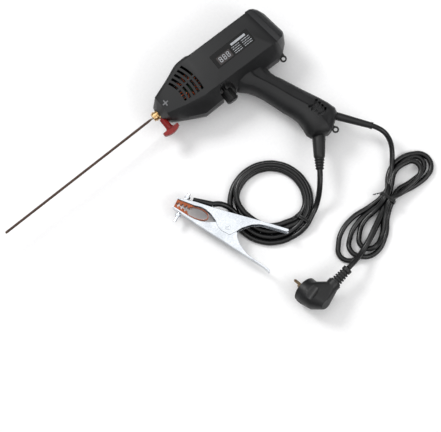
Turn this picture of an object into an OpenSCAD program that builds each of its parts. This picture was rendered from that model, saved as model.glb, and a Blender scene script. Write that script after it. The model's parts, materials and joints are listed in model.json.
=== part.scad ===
// Hand-held arc welding gun lying on its side, with its ground clamp, its mains cord and a
// stick electrode in the chuck. +Z is up from the floor, -X is the way the electrode points,
// +Y is the top of the gun. u and v below are X and Y before the origin moves to the middle
// of the gun, electrode and clamp.

/* [Gun body] */
// length from the nose to the rear cap
body_len = 225; // [210:1:250]
// thickness of the body, side to side
body_t = 80; // [72:1:100]
// wall of the housing shells
wall = 2.5; // [2:0.1:3.5]
// half thickness of the grip at its fullest
grip_half_t = 21; // [17:0.5:26]
// free space between the knob's corners and the arch over it
arch_gap = 0.9; // [0.6:0.1:2]

/* [Vents] */
// number of curved vent rows at the front
vent_rows = 5; // [3:1:5]
// distance from row to row
vent_pitch = 7.5; // [6:0.1:8]
// width of one vent slot
vent_w = 3.8; // [2:0.1:4.5]

/* [Chuck and electrode] */
// radius of the brass chuck
chuck_r = 6.5; // [5:0.1:8]
// radius of the bare core wire
core_r = 1.3; // [1:0.05:1.6]
// radius of the flux coating
coat_r = 2; // [1.7:0.05:2.4]
// whole length of the electrode
electrode_len = 300; // [200:5:350]
// depth that the core wire sits in the chuck
grip_depth = 18; // [12:1:22]

/* [Knob] */
// radius of the current knob
knob_r = 9.7; // [8:0.1:11]
// height of the current knob
knob_h = 19; // [14:0.5:20]
// number of flutes round the knob
flutes = 18; // [12:1:24]

/* [Fan] */
// side of the square fan frame
fan_size = 60; // [40:1:62]
// number of fan blades
fan_blades = 7; // [5:1:9]

/* [Ground clamp] */
// height of the upper arm's channel
channel_h = 22; // [18:1:26]
// thickness of the arms' sheet steel
sheet = 1.5; // [1.2:0.1:1.6]
// radius of the pivot rivet
rivet_r = 2.5; // [2:0.1:3]

/* [Cords] */
// diameter of the ground cable
ground_d = 8.6; // [7:0.1:9]
// diameter of the mains cord
mains_d = 8; // [6:0.1:8.4]
// length of the sleeve on the mains cord
sleeve_len = 58; // [40:1:65]
// length of the ground cable's boot
boot_len = 60; // [45:1:65]

/* [Plug] */
// radius of the plug's contact pins
pin_r = 2.4; // [2:0.05:2.4]
// free length of the contact pins
pin_len = 19; // [15:0.5:19]
// distance between the two pins
pin_gap = 19; // [17:0.5:20]
// radius of the plug's round face
face_r = 20.5; // [18:0.5:21]

/* [Hidden] */
$fn = 48;
fit = 0.05;                 // radial clearance of a running fit
mid_z = body_t / 2;         // height of the gun's middle plane

// Outlines of the body, each as [u, v] or [u, z] at its corners.
rear_u = body_len - 1;
top_line = [[13, 18], [40, 26.5], [63, 35.5], [69, 37], [87, 36.5], [92, 34.5],
    [rear_u - 22, 32.5], [rear_u - 20, 34.5], [rear_u - 13, 34], [rear_u - 7, 31],
    [rear_u - 3, 26], [rear_u, 19]];
side_top = [[13, 12], [36, 20.5], [66, 31.5], [rear_u - 19, 27.5], [rear_u - 7, 25],
    [rear_u, 15]];
side_bottom = [[13, -14], [26, -18], [46, -23.5], [71, -29.5], [96, -30.5],
    [rear_u - 18, -33], [rear_u - 7, -31], [rear_u, -24]];
side_z = [[13, mid_z - 13], [85, mid_z], [rear_u - 25, mid_z], [rear_u - 19, mid_z - 3],
    [rear_u - 11, mid_z - 3.5], [rear_u - 4, mid_z - 8], [rear_u, mid_z - 14]];
step_line = [[13, -20], [60, -32], [85, -38], [rear_u - 27, -41], [rear_u - 7, -33],
    [rear_u, -26]];
belly_line = [[13, -24], [20, -28], [40, -39], [60, -49], [95, -48.5], [rear_u - 30, -51],
    [rear_u - 20, -46.5], [rear_u - 7, -37], [rear_u, -28]];
nose_u = 13;                // where the nose cap meets the housing
cap_u = rear_u - 19;        // where the rear cap meets the housing
body_stations = [nose_u, 20, 26, 36, 46, 60, 66, 71, 85, 92, 96, 130, 170, rear_u - 30,
    rear_u - 27, rear_u - 25, rear_u - 22, rear_u - 20, cap_u];
cap_stations = [cap_u, rear_u - 18, rear_u - 13, rear_u - 11, rear_u - 7, rear_u - 4,
    rear_u - 3, rear_u];
lean = 0.12;                // the rear end leans, so its sections slant by this much

// The grip: front and back of each section as [u, v], and the share of its half thickness.
grip_stations = [
    [[113, -36], [181, -36], 1.25],
    [[119, -50], [176.5, -50], 1.2],
    [[130, -61], [176.5, -60], 1.12],
    [[136, -71], [179, -68], 1.06],
    [[141, -83], [183, -75], 1.0],
    [[146, -98], [189, -89], 0.98],
    [[152, -118], [197, -108], 0.97],
    [[157, -131], [203, -121], 1.0],
    [[160, -144], [209, -134], 1.06],
    [[159, -158], [215, -149], 1.12],
    [[157.5, -168], [218.5, -162], 1.15],
    [[160, -175], [216, -170], 1.1],
    [[170, -181], [208, -176], 1.0],
    [[183, -186.5], [195, -184.5], 0.8]];
grip_profile = [[1, 0], [0.985, 0.3], [0.93, 0.6], [0.8, 0.84], [0.6, 0.9], [0.54, 1],
    [0.38, 1], [0.22, 0.93], [0.1, 0.72], [0.03, 0.42], [0, 0]];

// Screw bosses: place, boss radius and hole radii.
boss_spots = [[30, -21], [88, 28], [84, -39], [171, 27], [183, -42], [167, -95], [184, -143]];
boss_r = 3.6;
screw_r = 1.5;
screw_head_r = 3;
head_depth = 8;             // a screw head sits this far below the middle plane
screw_reach = 9;            // and the screw reaches this far above it

// Nose and chuck.
axis_v = -1.6;              // height of the electrode's axis in the gun
chuck_front = -6;
chuck_back = 20;
screw_u = 4.3;              // axis of the clamp screw
screw_shank_r = 2.45;
neck_bottom = -9;
core_tip = chuck_front + grip_depth - electrode_len;

// Strap eyes: the middles of their holes, the holes' radius and the tabs' length.
rear_eye = [body_len - 19.5, -53.4];
butt_eye = [198, -188];
eye_r = 2.75;
eye_length = 13;

// Knob and its arch.
knob_u = 105.8;
knob_top = -38.2;
arch_v = -44;
arch_r = norm([knob_r, knob_top - arch_v]) + arch_gap;
pot_shaft_r = 3;

// Fan behind the rear cap.
fan_at = [180, -4];
fan_t = 15;

// Label on the left side.
label_u = 113;
label_v = -11.5;
label_w = 71;
label_h = 23;
label_t = 0.6;

// Cable exits from the butt, as a start and an angle in the middle plane.
boot_at = [177, -173];
boot_angle = -127.4;
boot_r = 10.1;
boot_end_r = 5.4;
sleeve_at = [211.5, -171.5];
sleeve_angle = -54.3;
sleeve_r = 6.2;
sleeve_end_r = 4.9;

// Ground clamp: pivot, angle and height of its lower side.
pivot = [-21.5, -201.5];
clamp_angle = -66.5;
clamp_z = ground_d + 0.7;
upper_plate = [[-88, 3], [-88, 4.5], [-60, 12], [-30, 17], [10, 25.5], [40, 32], [82, 40],
    [84, 38], [82, 35.5], [70, 33], [50, 29], [40, 26], [30, 20], [20, 10], [14, 0],
    [8, -9], [-5, -9], [-13, -6.5], [-21, 0.5], [-32, 6], [-42, 8.5], [-50, 8.6], [-60, 6]];
upper_web = [[-88, 4.5], [-60, 12], [-30, 17], [10, 25.5], [40, 32], [82, 40]];
lower_plate = [[-88, -9.5], [-88, -11.5], [-60, -15.5], [-30, -18.5], [0, -21],
    [40, -25], [75, -28], [86, -31], [87.5, -29.5], [85, -27.5], [70, -25.5], [45, -22.5],
    [35, -18], [28, -14], [20, -7], [13, 4], [6, 9], [-6, 9], [-13, 6.5], [-20, -1],
    [-30, -7], [-40, -10.5], [-50, -12], [-60, -12]];
lower_web = [[-88, -11.5], [-60, -15.5], [-30, -18.5], [0, -21], [40, -25], [75, -28],
    [86, -31]];
plate_gap = 0.4;            // between the upper arm's plates and the lower arm's
inner_low = sheet + plate_gap;
inner_high = channel_h - sheet - plate_gap;
bolt_x = -76;
jaw_teeth = 4;
jaw_pitch = 6.2;
bolt_bottom = -13.4;
spring_wire = 0.9;          // radius of the spring's wire
spring_r = 5.5;             // radius of its turns
// the upper arm's web at the bolt: its slope and its height
web_slope = atan((upper_web[1].y - upper_web[0].y) / (upper_web[1].x - upper_web[0].x));
web_y = upper_web[0].y + (bolt_x - upper_web[0].x) * tan(web_slope);

// The coil of ground cable, flat on the floor.
coil_at = [55.5, -209.5];
coil_out = 65.8;
coil_in = 47;
coil_tie_angle = -70;

// The hank of mains cord: where it is tied, and the middles of its two end loops.
tie_at = [197, -316];
loop_a = [258, -303];
loop_a_r = 27;
loop_b = [123, -338];
loop_b_r = 35;
hank_h = 2 * mains_d + 0.6;
hank_bundle_r = 13;         // the tied bundle of seven strands
hank_bundle_h = 3 * mains_d + 0.2;

// Routes of the cords, [u, v, height].
mains_route = [[245.5, -218.5, 40], [249.5, -225.5, 39], [253.5, -235, 35.5],
    [254.5, -246, 29], [252, -256.5, 22], [246.5, -266, 16.5], [239, -275.5, 13.2],
    [232, -284, 12.6], [227, -290.5, 12.6]];
tail_route = [[112, -356.5, 15], [105, -358.2, 19.8], [98, -359.8, 24.3],
    [90, -361.5, 28.5], [80.6, -363.1, 30.7]];
ground_route = [[141, -220.5, 40], [134.5, -229, 39.4], [127, -238, 35.5],
    [119.5, -246, 28.5], [112, -252.5, 20.5], [104, -258, 14.5], [95, -262.6, 12.9]];
lead_route = [[6, -191, 4.4], [4, -185, 7], [1.5, -179, 11.5], [-2, -173, 16.2],
    [-6.5, -167, 19.5], [-12, -161.3, 20.3], [-16.3, -158.7, 20.3]];

// Plug: the middle of its round face, the angle its cord leaves at, and its height. It
// stands on the rim of its face and on the tip of its lower pin, so it leans forward.
plug_at = [10.6, -346.2];
plug_angle = 8;
plug_lean = atan((face_r - pin_gap / 2 - pin_r) / pin_len);
plug_z = face_r * cos(plug_lean) + 0.05;
relief_x = 37;              // where the strain relief starts
relief_y = -29.3;

// The origin: the middle of the gun, the electrode and the clamp, on the floor.
function turned(p, a) = [p.x * cos(a) - p.y * sin(a), p.x * sin(a) + p.y * cos(a)];
function bounds_low(list) = min([for (p = list) turned(p, clamp_angle).y]) + pivot.y;
top_v = max([for (p = top_line) p.y]);
origin_u = (core_tip + rear_u + 28 * lean) / 2;
origin_v = (bounds_low(lower_plate) + top_v) / 2;

// ---- frames ----

module gun() translate([-origin_u, -origin_v, mid_z]) children();
module floor_frame() translate([-origin_u, -origin_v, 0]) children();
module clamp_frame() floor_frame() translate([pivot.x, pivot.y, clamp_z])
    rotate(clamp_angle) children();
module plug_frame() floor_frame() translate([plug_at.x, plug_at.y, plug_z])
    rotate(plug_angle) rotate([-plug_lean, 0, 0]) children();
// an axis in the middle plane: +Z of the child points along it
module along(at, angle) translate([at.x, at.y, 0]) rotate(angle) rotate([0, 90, 0])
    children();

// ---- lofts ----

// joins rings of the same number of points into one closed solid
module loft(rings) {
    n = len(rings[0]);
    m = len(rings);
    points = [for (ring = rings) each ring];
    sides = [for (i = [0:m - 2]) for (j = [0:n - 1]) each [
        [i * n + j, (i + 1) * n + j, (i + 1) * n + (j + 1) % n],
        [i * n + j, (i + 1) * n + (j + 1) % n, i * n + (j + 1) % n]]];
    first = [for (j = [0:n - 1]) j];
    last = [for (j = [n - 1:-1:0]) (m - 1) * n + j];
    polyhedron(points, concat(sides, [first, last]));
}

// one slanting section of the left half of the body, moved inwards by t
function body_ring(u, t) = let (
    top = lookup(u, top_line) - t,
    st = lookup(u, side_top) - t * 0.6,
    sb = lookup(u, side_bottom) + t * 0.6,
    sz = lookup(u, side_z) - t,
    step_v = lookup(u, step_line) + t * 0.9,
    step_z = lookup(u, side_z) * 0.72 - t * 0.8,
    belly = lookup(u, belly_line) + t,
    slant = lean * max(0, min(1, (u - 100) / 90)))
    [for (p = [[top, 0], [top - 1, sz - 3], [st, sz], [sb, sz], [step_v, step_z],
        [belly + 0.8, sz * 0.36], [belly, 0]]) [u - slant * p.x, p.x, p.y]];

module body_half(stations, t) loft([for (u = stations) body_ring(u, t)]);

// both halves of the body as one solid
module body_whole(stations, t) loft([for (u = stations) let (ring = body_ring(u, t))
    concat(ring, [for (i = [len(ring) - 2:-1:1]) [ring[i].x, ring[i].y, -ring[i].z]])]);

// one section of the left half of the grip
function grip_ring(s, t) = let (
    across = s[1] - s[0],
    size = norm(across),
    way = across / size)
    [for (p = grip_profile) let (
        along_way = t + p.x * (size - 2 * t),
        out = max(0, p.y * (grip_half_t * s[2] - t)))
        [s[0].x + way.x * along_way, s[0].y + way.y * along_way, out]];

module grip_half(stations, t) loft([for (s = stations) grip_ring(s, t)]);

// ---- housing ----

module arch(r, top) translate([knob_u, arch_v, -1]) cylinder(r = r, h = top);

module bosses(r, low, high) for (p = boss_spots)
    translate([p.x, p.y, low]) cylinder(r = r, h = high - low, $fn = 24);

// the curved slots on both sides of the nose, cut through one side wall
module vent_slots() {
    radius = 84.5;
    translate([0, 0, mid_z - 22]) linear_extrude(24) difference() {
        intersection() {
            for (i = [0:vent_rows - 1]) translate([-7.3, -4.5]) difference() {
                circle(radius - i * vent_pitch + vent_w / 2, $fn = 128);
                circle(radius - i * vent_pitch - vent_w / 2, $fn = 128);
            }
            polygon([[38, 18], [58, 24.5], [80, 30], [80, -20.5], [58, -19.5], [38, -16]]);
        }
        translate([30, -0.5]) rotate(4) square([60, 3]);
    }
}

// the four curved slots in the butt
module butt_slots() for (i = [0:3]) translate([192 + 0.7 * i, -127 - 6.2 * i, 8])
    linear_extrude(30) intersection() {
        difference() {
            circle(14.6 + vent_w / 4);
            circle(12.2 - vent_w / 6);
        }
        polygon([[0, 0], [-11, -16], [-3, -24], [10, -24], [13, -10]]);
    }

// a tab with a round end, before its hole is made
module eye_blank(length) {
    translate([-4, 0, -2]) cube([8, length, 4]);
    translate([0, 0, -2]) cylinder(r = 5.2, h = 4);
}

// a sheet of filter foam in the middle plane, behind the butt's slots
module dust_filter() color("#101112") gun() difference() {
    translate([176, -165, -1.5]) cube([29, 32, 3]);
    translate([184, -143, -5]) cylinder(r = boss_r + 0.4, h = 10);
}

module rear_eye_place() translate([rear_eye.x, rear_eye.y, 0]) rotate(-8) children();
module butt_eye_place() translate([butt_eye.x, butt_eye.y, 0]) rotate(18) children();

module boot_bore() along(boot_at, boot_angle) translate([0, 0, -3]) {
    cylinder(r = boot_r + 0.1, h = 40);
}
module sleeve_bore() along(sleeve_at, sleeve_angle) translate([0, 0, -6])
    cylinder(r = sleeve_r + 0.1, h = 30);

// everything that is outside of both halves, and all cuts that both share
module half_shell() {
    difference() {
        union() {
            body_half(body_stations, 0);
            grip_half(grip_stations, 0);
        }
        difference() {
            union() {
                translate([wall, 0, -1]) body_half([for (u = body_stations)
                    if (u < cap_u) u], wall);
                translate([-wall, 0, -1]) body_half([rear_u - 60, cap_u, cap_u + 5], wall);
                translate([0, 0, -1]) grip_half([for (i = [0:len(grip_stations) - 2])
                    grip_stations[i]], wall);
            }
            bosses(boss_r, -2, mid_z);
            arch(arch_r + wall, mid_z + 5);
            along(boot_at, boot_angle) translate([0, 0, -3]) cylinder(r = boot_r + wall, h = 30);
        }
        arch(arch_r, mid_z + 5);
        translate([knob_u, knob_top + 12, 0]) rotate([90, 0, 0])
            cylinder(r = pot_shaft_r + 0.5, h = 20);
        translate([0, axis_v, 0]) rotate([0, 90, 0]) cylinder(r = chuck_r, h = nose_u + 5);
        vent_slots();
        butt_slots();
        rear_eye_place() eye_blank(eye_length);
        butt_eye_place() eye_blank(eye_length);
        boot_bore();
        sleeve_bore();
    }
}

module left_housing() color("#26272a") gun() difference() {
    half_shell();
    bosses(screw_r, -1, screw_reach + 1);
}

module right_housing() color("#232427") gun() difference() {
    mirror([0, 0, 1]) half_shell();
    bosses(screw_r + 0.2, -mid_z, 1);
    bosses(screw_head_r + 0.3, -mid_z - 1, -head_depth);
}

module housing_screws() color("#8d9094") gun() for (p = boss_spots)
    translate([p.x, p.y, 0]) {
        translate([0, 0, -head_depth]) cylinder(r = screw_r, h = head_depth + screw_reach,
            $fn = 24);
        difference() {
            translate([0, 0, -head_depth - 2]) cylinder(r = screw_head_r, h = 2, $fn = 24);
            for (a = [0, 90]) rotate(a) translate([-2, -0.4, -head_depth - 2.5])
                cube([4, 0.8, 1.5]);
        }
    }

module nose_cap() color("#1d1e20") gun() difference() {
    hull() {
        for (s = [-1, 1]) scale([1, 1, s]) loft([body_ring(nose_u, 0.8),
            [for (p = body_ring(nose_u, 0.8)) [p.x - 0.5, p.y, p.z]]]);
        translate([3.5, axis_v, 0]) rotate([0, 90, 0]) cylinder(r = 12, h = 1, $fn = 32);
    }
    translate([-1, axis_v, 0]) rotate([0, 90, 0]) cylinder(r = chuck_r, h = 20);
    translate([-1, axis_v, 0]) rotate([0, 90, 0]) cylinder(r = chuck_r + 3, h = 9.5);
    translate([screw_u, -8, 0]) rotate([90, 0, 0]) cylinder(r = 6.8, h = 30);
}

module rear_cap() color("#2a2b2e") gun() difference() {
    body_whole(cap_stations, 0);
    translate([-wall, 0, 0])
        body_whole([cap_u - 5, cap_u, rear_u - 13, rear_u - 7, rear_u - 3], wall);
    for (i = [-3:3]) let (half = 17 - abs(i) * 2) translate([cap_u + 8, -6 + i * 5, -half])
        cube([40, 2.4, 2 * half]);
    rear_eye_place() eye_blank(eye_length);
}

module label_plate() color("#101113") gun() translate([label_u, label_v, mid_z])
    difference() {
        linear_extrude(label_t) hull() for (x = [1, label_w - 1], y = [1, label_h - 1])
            translate([x, y]) circle(1);
        translate([6, 2, -1]) cube([25, 13, 3]);
    }

module display_window() color("#1a0606") gun()
    translate([label_u + 6, label_v + 2, mid_z]) cube([25, 13, label_t / 2]);

// three seven-segment digits, every segment a bar
module digit() for (s = [[0, 0, 3, 0.9], [0, 3.8, 3, 0.9], [0, 7.6, 3, 0.9],
    [-0.8, 0.6, 0.9, 3.2], [2.9, 0.6, 0.9, 3.2], [-0.8, 4.6, 0.9, 3.2],
    [2.9, 4.6, 0.9, 3.2]]) translate([s[0], s[1]]) square([s[2], s[3]]);

module display_digits() color("#d8dadd") gun() for (i = [0:2])
    translate([label_u + 10 + 7 * i, label_v + 4.5, mid_z + label_t / 2])
        linear_extrude(label_t / 2 + 0.1) digit();

module polarity_mark() color("#c9ccd0") gun() translate([19.7, -0.5, 0]) {
    slope = atan(13 / (85 - nose_u));
    translate([0, 0, lookup(19.7, side_z)]) rotate([0, -slope, 0]) {
        translate([-5, -1, 0]) cube([10, 2, 0.5]);
        translate([-1, -5, 0]) cube([2, 10, 0.5]);
    }
}

// ---- chuck, clamp screw and electrode ----

module chuck() color("#c8a04a") gun() difference() {
    union() {
        translate([chuck_front, axis_v, 0]) rotate([0, 90, 0])
            cylinder(r = chuck_r, h = chuck_back - chuck_front);
        translate([-3.5, axis_v, 0]) rotate([0, 90, 0]) cylinder(r = chuck_r + 1.2, h = 2.5);
        translate([screw_u, axis_v, 0]) rotate([90, 0, 0])
            cylinder(r = 4.6, h = axis_v - neck_bottom);
    }
    translate([chuck_front - 1, axis_v, 0]) rotate([0, 90, 0])
        cylinder(r = core_r + fit, h = grip_depth + 1);
    translate([screw_u, axis_v, 0]) rotate([90, 0, 0])
        cylinder(r = screw_shank_r + fit, h = 20);
}

module pressure_tip() color("#b9bcc0") gun()
    translate([screw_u, axis_v - core_r - 0.05, 0]) rotate([90, 0, 0])
        cylinder(r = screw_shank_r, h = 1.6);

module clamp_screw() color("#b3262e") gun() translate([screw_u, 0, 0]) difference() {
    union() {
        translate([0, axis_v - core_r - 1.65, 0]) rotate([90, 0, 0])
            cylinder(r = screw_shank_r, h = 8);
        translate([0, neck_bottom - 2, 0]) rotate([90, 0, 0]) cylinder(r = 5.2, h = 17.5);
        translate([0, -28.5, 0]) rotate([90, 0, 0]) cylinder(r = 6.2, h = 2);
        intersection() {
            translate([-14, -40, -4.2]) cube([28, 9.5, 8.4]);
            translate([0, -12, -5]) cylinder(r = 27, h = 10, $fn = 96);
            translate([0, -35, 0]) rotate([90, 0, 0]) cylinder(r = 14, h = 30, center = true);
        }
    }
    for (a = [0:30:330]) translate([0, neck_bottom - 3, 0]) rotate([0, a, 0])
        translate([5.4, 0, 0]) rotate([90, 0, 0]) cylinder(r = 0.55, h = 15, $fn = 16);
}

module electrode_core() color("#9b8f80") gun() translate([core_tip, axis_v, 0])
    rotate([0, 90, 0]) cylinder(r = core_r, h = electrode_len - 0.5);

module electrode_coating() color("#4a3428") gun() translate([core_tip + 0.5, axis_v, 0])
    rotate([0, 90, 0]) difference() {
        cylinder(r = coat_r, h = electrode_len - grip_depth - 4);
        translate([0, 0, -1]) cylinder(r = core_r, h = electrode_len);
    }

// ---- knob ----

module current_knob() color("#17181a") gun() translate([knob_u, knob_top, 0])
    rotate([90, 0, 0]) {
        difference() {
            union() {
                cylinder(r = knob_r, h = knob_h - 2);
                translate([0, 0, knob_h - 2]) cylinder(r1 = knob_r, r2 = knob_r - 2, h = 2);
            }
            for (i = [0:flutes - 1]) rotate(i * 360 / flutes) translate([knob_r + 0.4, 0, 2])
                cylinder(r = 1, h = knob_h, $fn = 16);
            translate([-0.6, 2, knob_h - 0.6]) cube([1.2, knob_r, 2]);
        }
        translate([0, 0, -12]) cylinder(r = pot_shaft_r, h = 13);
    }

module potentiometer() color("#6f7276") gun()
    translate([knob_u, arch_v + arch_r + wall + 0.2, 0]) rotate([-90, 0, 0]) difference() {
        union() {
            cylinder(r = 8, h = 9);
            cylinder(r = 4.5, h = 11);
        }
        translate([0, 0, -1]) cylinder(r = pot_shaft_r + fit, h = 15);
    }

// ---- inside ----

module fan_frame() color("#1b1c1e") gun() translate([fan_at.x, fan_at.y, 0])
    rotate([0, 90, 0]) difference() {
        translate([-fan_size / 2, -fan_size / 2, 0]) cube([fan_size, fan_size, fan_t]);
        translate([0, 0, 2]) cylinder(r = fan_size / 2 - 2, h = fan_t);
        difference() {
            translate([0, 0, -1]) cylinder(r = fan_size / 2 - 2, h = 4);
            for (a = [0, 90]) rotate(a + 45) translate([-fan_size / 2, -1.5, -2])
                cube([fan_size, 3, 10]);
            translate([0, 0, -2]) cylinder(r = 9, h = 10);
        }
        for (x = [-1, 1], y = [-1, 1]) translate([x, y, 0] * (fan_size / 2 - 4)
            - [0, 0, 1]) cylinder(r = 1.8, h = fan_t + 2, $fn = 24);
        translate([0, 0, 1]) cylinder(r = 1.5 + fit, h = 4);
    }

module fan_rotor() color("#2d2f33") gun() translate([fan_at.x, fan_at.y, 0])
    rotate([0, 90, 0]) {
        translate([0, 0, 1.2]) cylinder(r = 1.5, h = 3);
        translate([0, 0, 3]) cylinder(r = 9.5, h = fan_t - 4);
        for (i = [0:fan_blades - 1]) rotate(i * 360 / fan_blades)
            translate([8.5, 0, fan_t / 2 + 1.5]) rotate([35, 0, 0]) translate([0, -6, -0.6])
                cube([fan_size / 2 - 2 - 8.5 - 2, 12, 1.2]);
    }

module power_board() color("#2f6b3a") gun() translate([56, -24, -14])
    difference() {
        cube([112, 45, 1.6]);
        for (x = [6, 106], y = [6, 39]) translate([x, y, -1]) cylinder(r = 1.6, h = 4, $fn = 24);
    }

module heatsink() color("#9a9ea3") gun() translate([116, -22, -12.4]) {
    cube([46, 18, 4]);
    for (i = [0:6]) translate([0, i * 2.66, 4]) cube([46, 1.6, 18]);
}

module capacitors() color("#27324a") gun() for (i = [0:2])
    translate([122 + i * 17, 10, -12.4]) cylinder(r = 7.5, h = 28);

module choke_core() color("#3b3c40") gun() translate([64, 0, -12.4]) difference() {
    cylinder(r = 19, h = 26);
    translate([0, 0, -1]) cylinder(r = 9, h = 30);
}

// copper turns laid radially on the core, as bars outside and inside of it
module choke_winding() color("#b2602f") gun() translate([64, 0, 13.6])
    for (i = [0:19]) rotate(i * 18) translate([9.5, 0, 1.1]) rotate([0, 90, 0])
        cylinder(r = 1.1, h = 9.5, $fn = 16);

module display_board() color("#2f6b3a") gun()
    translate([label_u + 2, label_v + 1, mid_z - wall - 4.2]) cube([36, 17, 1.6]);

module bus_bar() color("#b8713c") gun() translate([chuck_back, axis_v - 5, -1.5])
    cube([24, 10, 3]);

// ---- strap eyes ----

module eye() difference() {
    eye_blank(eye_length);
    translate([0, 0, -5]) cylinder(r = eye_r, h = 10);
}

module rear_strap_eye() color("#202124") gun() rear_eye_place() eye();
module butt_strap_eye() color("#202124") gun() butt_eye_place() eye();

// ---- cable exits ----

module ground_boot() color("#17181a") gun() along(boot_at, boot_angle)
    rotate_extrude() polygon([[ground_d / 2, 0], [boot_r, 0], [boot_r, 14], [8.6, 40],
        for (i = [0:3]) each [[8 - 0.45 * i, 42 + 4.2 * i], [6.9 - 0.45 * i, 42.8 + 4.2 * i],
            [6.9 - 0.45 * i, 44.6 + 4.2 * i], [8 - 0.45 * i, 45.4 + 4.2 * i]],
        [boot_end_r, boot_len], [ground_d / 2, boot_len]]);

module mains_sleeve() color("#151618") gun() along(sleeve_at, sleeve_angle)
    translate([0, 0, -4]) rotate_extrude() polygon([[mains_d / 2, 0], [sleeve_r, 0],
        [sleeve_r, 10], [sleeve_end_r, sleeve_len], [sleeve_end_r + 0.5, sleeve_len],
        [sleeve_end_r + 0.5, sleeve_len + 4], [mains_d / 2, sleeve_len + 4]]);

// ---- cord tubes ----

function unit(v) = v / norm(v);
function heading(path, i) = let (last = len(path) - 1)
    unit(path[min(i + 1, last)] - path[max(i - 1, 0)]);
function tube_ring(at, way, r, sides) = let (
    side = unit(cross([0, 0, 1], way)),
    up = cross(way, side))
    [for (k = [0:sides - 1]) let (a = 360 * k / sides) at + r * (cos(a) * side + sin(a) * up)];

module tube(route, d, sides)
    loft([for (i = [0:len(route) - 1]) tube_ring(route[i], heading(route, i), d / 2, sides)]);

module mains_cord() color("#131415") floor_frame() tube(mains_route, mains_d, 10);
module plug_cord() color("#131415") floor_frame() tube(tail_route, mains_d, 10);
module ground_cable() color("#131415") floor_frame() tube(ground_route, ground_d, 10);
module clamp_lead() color("#131415") floor_frame() tube(lead_route, ground_d, 10);

// ---- coil and hank ----

// part of a flat ring between two radii, two heights and two angles
module ring_part(inner, outer, low, high, from, sweep) translate([0, 0, low])
    linear_extrude(high - low) intersection() {
        difference() {
            circle(outer);
            circle(inner);
        }
        polygon([[0, 0], for (a = [0:20:sweep]) 1.1 * outer * [cos(from + a), sin(from + a)]]);
    }

module ground_coil() color("#131415") floor_frame() translate([coil_at.x, coil_at.y, 0]) {
    difference() {
        cylinder(r = coil_out, h = ground_d);
        translate([0, 0, -1]) cylinder(r = coil_in, h = ground_d + 2);
    }
    ring_part(coil_in - 15, coil_in + 3, 0.2, ground_d - 0.2, 165, 100);
    ring_part(coil_in + 0.4, coil_out - 0.4, ground_d - 1, 2 * ground_d, -98, 240);
}

module coil_tie() color("#0d0e0f") floor_frame() translate([coil_at.x, coil_at.y, 0])
    rotate([0, 0, coil_tie_angle]) rotate_extrude(angle = 5) difference() {
        translate([coil_in - 1.2, 0]) square([coil_out - coil_in + 2.4, 2 * ground_d + 1.4]);
        translate([coil_in - 0.1, -1]) square([coil_out - coil_in + 0.2, 2 * ground_d + 1.1]);
    }

module hank_outline() {
    hull() {
        translate(tie_at) circle(hank_bundle_r);
        translate(loop_a) circle(loop_a_r);
    }
    hull() {
        translate(tie_at) circle(hank_bundle_r);
        translate(loop_b) circle(loop_b_r);
    }
}

module mains_hank() color("#131415") floor_frame() {
    linear_extrude(hank_h) hank_outline();
    translate([tie_at.x, tie_at.y, 1]) cylinder(r = hank_bundle_r - 0.3, h = hank_bundle_h - 1);
}

module hank_tie() color("#0d0e0f") floor_frame() difference() {
    translate([tie_at.x, tie_at.y, 0]) rotate(15) translate([-2.5, -15, 0])
        cube([5, 30, hank_bundle_h + 1.5]);
    translate([tie_at.x, tie_at.y, -1]) cylinder(r = hank_bundle_r, h = hank_bundle_h + 1);
}

// ---- plug ----
// in the plug's frame +X is the way the cord leaves and +Y the way the pins point

module plug_body() color("#151618") plug_frame() difference() {
    union() {
        rotate([90, 0, 0]) cylinder(r = face_r, h = 10);
        hull() {
            translate([0, -9, 0]) rotate([90, 0, 0]) cylinder(r = face_r, h = 1, $fn = 40);
            translate([0, -27, 0]) rotate([90, 0, 0]) cylinder(r = 17.5, h = 1, $fn = 40);
            translate([3, -43.5, 0]) rotate([90, 0, 0]) cylinder(r = 9, h = 0.5, $fn = 40);
            translate([28, relief_y, 0]) rotate([0, 90, 0]) cylinder(r = 11, h = 1, $fn = 40);
        }
        translate([28, relief_y, 0]) rotate([0, 90, 0]) cylinder(r = 10.6, h = relief_x - 28);
    }
    // earth contact slots in the rim, and a finger hollow on each side
    for (s = [-1, 1]) {
        translate([s * face_r, 1, 0]) rotate([90, 0, 0]) cylinder(r = 3.2, h = 14);
        translate([-9, -25, s * (face_r + 5.5)]) rotate([0, 90, 8]) cylinder(r = 11, h = 22);
    }
}

module plug_relief() color("#151618") plug_frame() translate([relief_x, relief_y, 0])
    rotate([0, 90, 0]) rotate_extrude() polygon([[mains_d / 2, 0], [7.2, 0],
        for (i = [0:4]) each [[8.8 - 0.3 * i, 0.5 + 4.4 * i], [8.8 - 0.3 * i, 2.6 + 4.4 * i],
            [5.6, 2.9 + 4.4 * i], [5.6, 4.6 + 4.4 * i]],
        [7.6, 23.4], [7.6, 29], [mains_d / 2, 29]]);

// a Schuko-type pair of round pins, one above the other
module plug_pins() color("#a9865f") plug_frame() for (s = [-1, 1])
    translate([0, 0, s * pin_gap / 2]) rotate([-90, 0, 0]) {
        cylinder(r = pin_r, h = pin_len - pin_r);
        translate([0, 0, pin_len - pin_r]) cylinder(r1 = pin_r, r2 = pin_r * 0.55, h = pin_r);
    }

module plug_earth_clips() color("#b9bcc0") plug_frame() for (s = [-1, 1])
    translate([s * (face_r - 1.9) - 0.4, -9, -2]) cube([0.8, 8.8, 4]);

// ---- ground clamp ----

module strip(points, t, side) polygon(concat(points, [for (i = [len(points) - 1:-1:0])
    [points[i].x, points[i].y + side * t]]));

module arm(plate, web, side, low, high) {
    for (z = [low, high - sheet]) translate([0, 0, z]) linear_extrude(sheet)
        polygon(plate);
    translate([0, 0, low]) linear_extrude(high - low) strip(web, sheet, side);
}

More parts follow.
